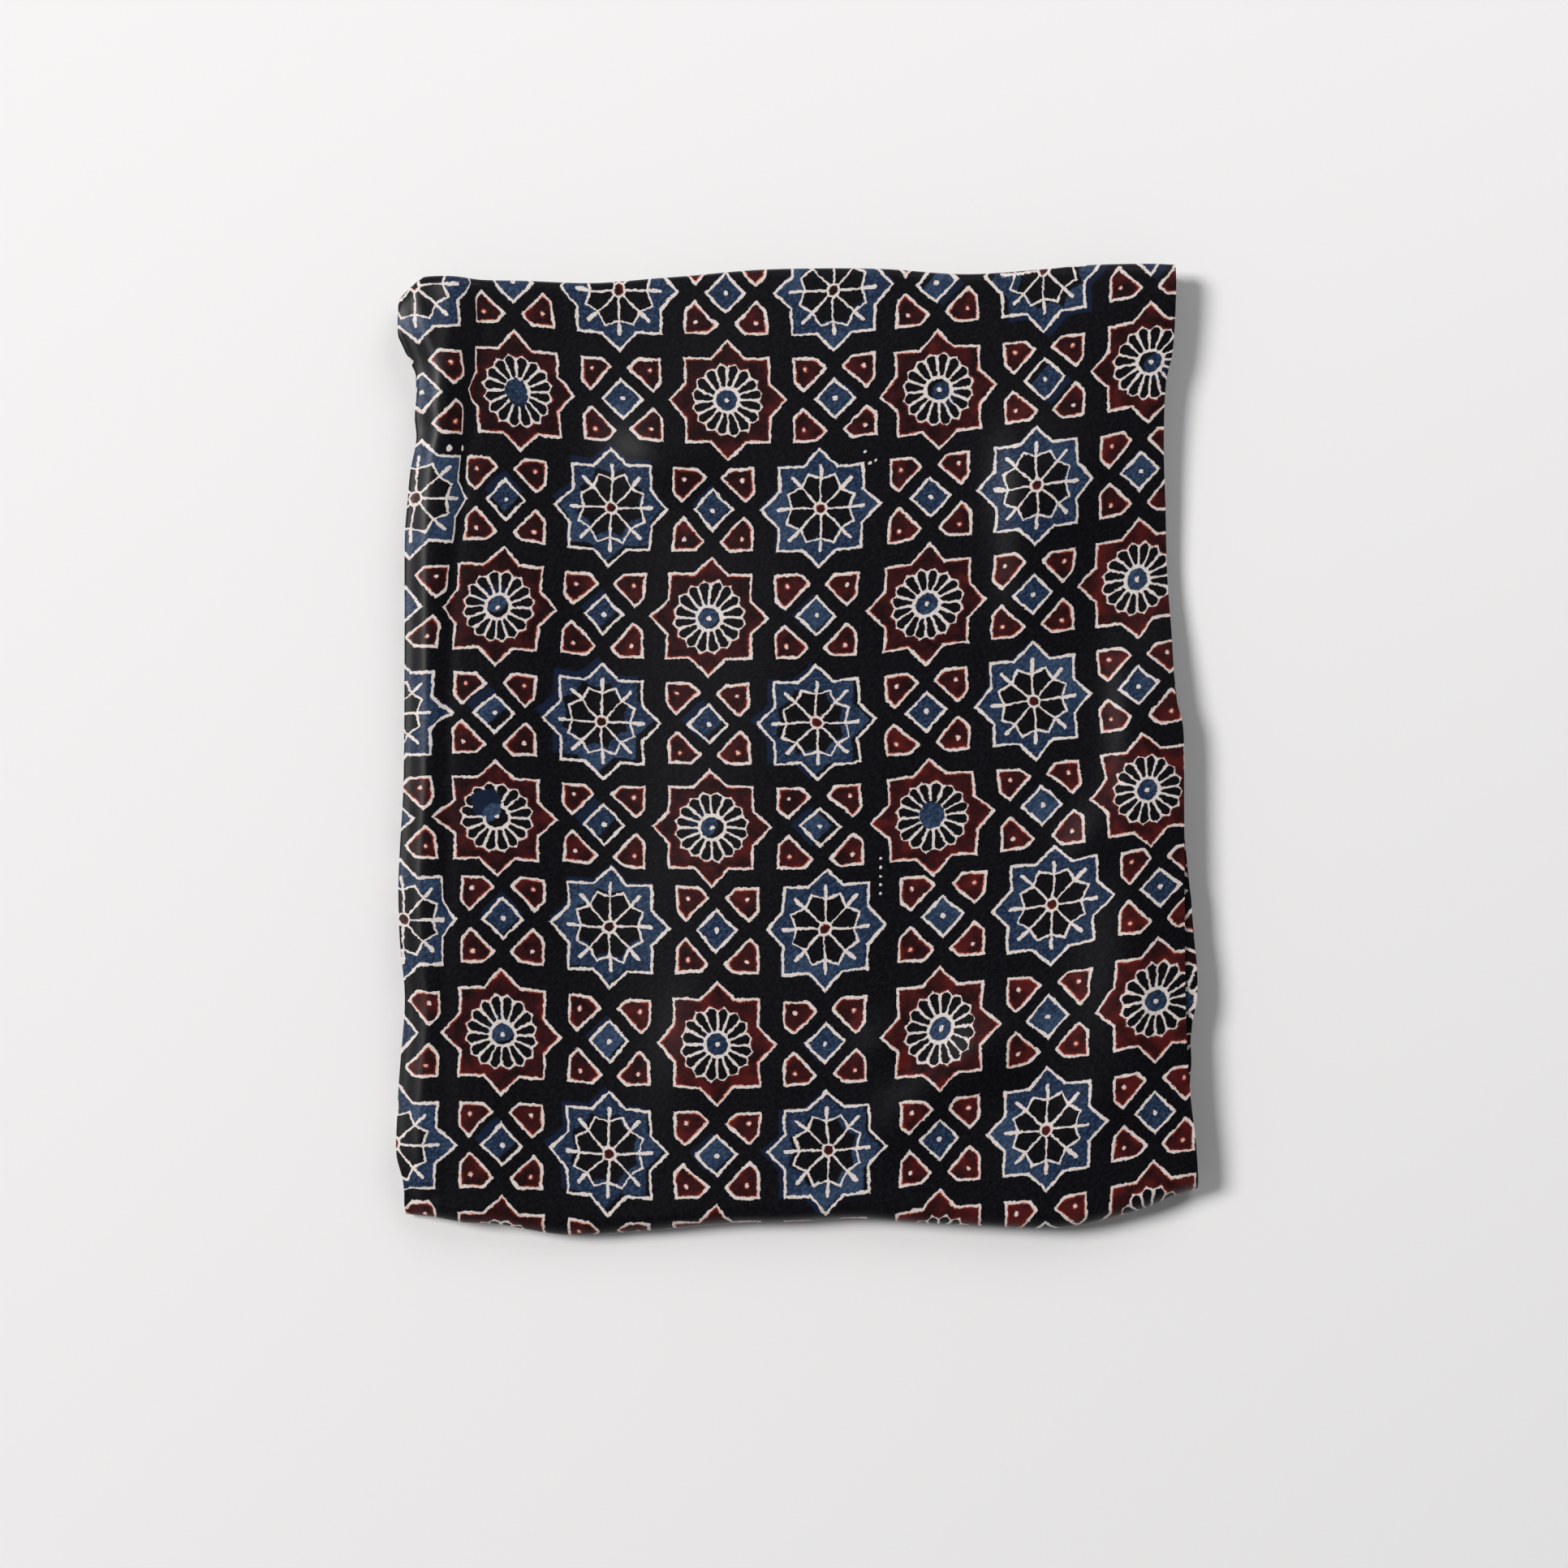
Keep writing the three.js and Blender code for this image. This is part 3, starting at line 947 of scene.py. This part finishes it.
# %% [markdown]
# ## Dyes
# Madder fills the red stars and the cells, indigo the blue stars, diamonds and hubs. The indigo is
# looked up at its own strayed place, so it misses its outlines on one side and spills on the other.

# %% Where each dye went
DYE_EDGE = 0.5
BLUE_MARGIN = 0.3
red_field = (red_star.most(0.0 - rosette(*middle))).least(cells).least(from_corner - EYE_RADIUS)
red_share = red_field.inside(DYE_EDGE)

blue_flower = 0.0 - flower(*blue_corner)
blue_hubs = length_of(*blue_middle) - (HUB_RADIUS + HUB_SPILL)
blue_field = (star(*blue_corner) - BLUE_MARGIN).most(blue_flower)
blue_diamonds = diamond(*blue_below).least(diamond(*blue_beside))
blue_field = blue_field.least(blue_diamonds - BLUE_MARGIN).least(blue_hubs).least(smudge)
blue_share = blue_field.inside(DYE_EDGE)

# %% [markdown]
# ## Colours
# Every dye is uneven: the cloth drinks it in clouds, the satin's floats catch it thread by thread,
# and the red bleeds a little into the cream beside it.

# %% Colour of the print
BLACK = (0.0003, 0.0002, 0.0009, 1)
BLACK_WORN = (0.0088, 0.0080, 0.0118, 1)
MADDER = (0.0085, 0.0022, 0.0028, 1)
MADDER_FULL = (0.036, 0.0050, 0.0060, 1)
MADDER_BRIGHT = (0.135, 0.0125, 0.0100, 1)
INDIGO = (0.0045, 0.0115, 0.034, 1)
INDIGO_PALE = (0.057, 0.098, 0.176, 1)
INDIGO_SPILL = (0.006, 0.012, 0.032, 1)
CREAM = (0.72, 0.655, 0.625, 1)
CREAM_DULL = (0.42, 0.335, 0.295, 1)
CREAM_PINK = (0.60, 0.24, 0.17, 1)

clouds = grain(26.0, 3.0, seed=2.0)
patches = grain(8.0, 3.0, seed=5.0)
threads = grain(0.6, 2.0, stretch=(1.0, 2.2), turn=math.radians(35), seed=9.0)
mottle = grain(1.7, 2.0, stretch=(1.0, 1.6), turn=math.radians(35), seed=17.0)
specks = grain(0.32, 1.0, seed=13.0)
rim_patches = grain(5.0, 2.0, seed=51.0)
flecks = threads.between(0.42, 0.66) * 0.5 + mottle.between(0.44, 0.64) * 0.5

ground = blend((flecks * 0.85 + (clouds - 0.5) * 0.3).clamped(), BLACK, BLACK_WORN)
warmer = (cloth_u - cloth_v) / 2400.0
filled = ((patches + warmer).between(0.42, 0.56) * 0.7 + (mottle - 0.42) * 1.6).clamped()
near_line = (1.0 - lines / 0.8).clamped() * rim_patches.between(0.44, 0.58)
madder = blend(filled, MADDER, MADDER_FULL)
glowing = (near_line + (patches + warmer).between(0.58, 0.72) * 0.4).clamped()
madder = blend(glowing, madder, MADDER_BRIGHT)
faded = (flecks * 0.8 + (clouds.between(0.5, 0.64) - 0.3) * 0.3).clamped()
indigo = blend(faded, INDIGO, INDIGO_PALE)
in_blue_shape = blue_star.least(diamonds).least(from_middle - (HUB_RADIUS + HUB_SPILL)).inside(0.6)
indigo = blend(in_blue_shape, INDIGO_SPILL, indigo)
color = blend(red_share, ground, madder)
color = blend(blue_share, color, indigo)
beside_red = (0.35 - red_field).clamped() * 2.0
uneven = rim_patches.between(0.42, 0.56) * 0.8 + 0.2
bleed = beside_red * (lines + 0.5).between(0.0, 0.45) * uneven
dull = (specks.between(0.5, 0.68) * 0.45 + mottle.between(0.5, 0.66) * 0.4).clamped()
resist = blend(dull, CREAM, CREAM_DULL)
resist = blend((bleed * 0.85).clamped(), resist, CREAM_PINK)
color = blend(cream, color, resist)

# %% [markdown]
# ## Satin
# A satin weave floats its threads over several others, so the face is smooth, a little glossy, and
# shows a fine slant. The slant and the threads go into a small bump; resist paste leaves the cream
# lines a trace duller.

# %% Finish of the cloth
TWILL = {"pitch": 0.62, "turn": math.radians(38)}
BUMP = {"strength": 0.12, "depth": 0.00012}
SATIN = {"roughness": 0.37, "specular": 0.17}
slant = cloth_u * (math.cos(TWILL["turn"]) / TWILL["pitch"])
slant = slant + cloth_v * (math.sin(TWILL["turn"]) / TWILL["pitch"])
twill = wave(slant + (threads - 0.5) * 1.2)
height = twill * 0.35 + threads * 0.9 + specks * 0.4
bump = start.node(
    "ShaderNodeBump",
    inputs={"Strength": BUMP["strength"], "Distance": BUMP["depth"], "Height": height},
)
roughness = SATIN["roughness"] + cream * 0.1 + (mottle - 0.5) * 0.12
satin = start.node(
    "ShaderNodeBsdfPrincipled",
    inputs={
        "Base Color": color,
        "Roughness": roughness,
        "Normal": Value(tree, bump.outputs[0]),
        "Specular IOR Level": SATIN["specular"],
    },
)
start.node("ShaderNodeOutputMaterial", inputs={"Surface": Value(tree, satin.outputs[0])})
cloth.data.materials.clear()
cloth.data.materials.append(fabric)
print("print and finish:", len(tree.nodes), "nodes")

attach(cloth, "root")
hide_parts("cloth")
FLAT_WIDTH * MM
FLAT_LENGTH * MM

# %% [markdown]
# ## Table, light and camera
# The packet lies on a pale table, seen from straight above. A large soft light stands on the left, a
# little beyond the packet; a weak one fills in from the far right, and the room lights the shadows.

# %% Table
TABLE_SIZE = 6.0
TABLE_GAP = 0.0001
TABLE_COLOR = (0.86, 0.855, 0.85, 1)
TABLE_ROUGHNESS = 0.85
bpy.ops.object.select_all(action="DESELECT")
bpy.ops.mesh.primitive_plane_add(size=TABLE_SIZE, location=(0, 0, -TABLE_GAP))
table = bpy.context.object
table.name = "table_top"
bpy.ops.object.transform_apply(location=True, rotation=False, scale=False)
paper = bpy.data.materials.new("pale_table")
paper.use_nodes = True
paper_shader = paper.node_tree.nodes["Principled BSDF"]
paper_shader.inputs["Base Color"].default_value = TABLE_COLOR
paper_shader.inputs["Roughness"].default_value = TABLE_ROUGHNESS
table.data.materials.append(paper)

# %% Camera
PIXEL = 0.2917
FRAME_PIXELS = 1932
FRAME_MIDDLE = (-5.5, -12.1)
CAMERA_DISTANCE = 1200.0
SENSOR = 36.0
SIGHT = 20.0
frame_width = PIXEL * FRAME_PIXELS
camera_data = bpy.data.cameras.new("view_from_above")
camera_data.sensor_width = SENSOR
camera_data.lens = SENSOR * CAMERA_DISTANCE / frame_width
camera_data.clip_end = SIGHT
camera = bpy.data.objects.new("view_from_above", camera_data)
camera.location = (
    (FRAME_MIDDLE[0] - SETTLE[0]) * MM,
    (FRAME_MIDDLE[1] - SETTLE[1]) * MM,
    (CAMERA_DISTANCE + PACKET_HEIGHT) * MM,
)
bpy.context.scene.collection.objects.link(camera)
bpy.context.scene.camera = camera

# %% Light
def soft_light(name, turn, height, distance, size, energy):
    """A round lamp that looks at the packet from a compass turn and a height, both in degrees."""
    data = bpy.data.lights.new(name, "AREA")
    data.shape = "DISK"
    data.size = size
    data.energy = energy
    light = bpy.data.objects.new(name, data)
    around, up = math.radians(turn), math.radians(height)
    level = distance * math.cos(up)
    light.location = (level * math.cos(around), level * math.sin(around), distance * math.sin(up))
    light.rotation_euler = (0, math.pi / 2 - up, around)
    bpy.context.scene.collection.objects.link(light)
    return light


window = soft_light("soft_window", turn=160, height=44, distance=6.0, size=2.2, energy=355.0)
window.data.color = (1.0, 0.992, 0.985)
soft_light("far_fill", turn=62, height=38, distance=1.7, size=1.1, energy=6.5)

WALL_COLOR = (0.50, 0.505, 0.518, 1)
CEILING_COLOR = (0.11, 0.111, 0.115, 1)
CEILING_FROM = 0.75
room = bpy.data.worlds.new("room")
room.use_nodes = True
room_value = Value(room.node_tree, None)
way = Value(room.node_tree, room_value.node("ShaderNodeTexCoord").outputs["Generated"])
up_way = room_value.node("ShaderNodeSeparateXYZ", inputs={0: way})
height_share = Value(room.node_tree, up_way.outputs[2]).most(0.0)
walls = room_value.node(
    "ShaderNodeMix",
    {"data_type": "RGBA"},
    {0: height_share.between(0.0, CEILING_FROM), 6: WALL_COLOR, 7: CEILING_COLOR},
)
room_value.tree.links.new(walls.outputs[2], room.node_tree.nodes["Background"].inputs["Color"])
bpy.context.scene.world = room
bpy.context.scene.view_settings.view_transform = "Standard"
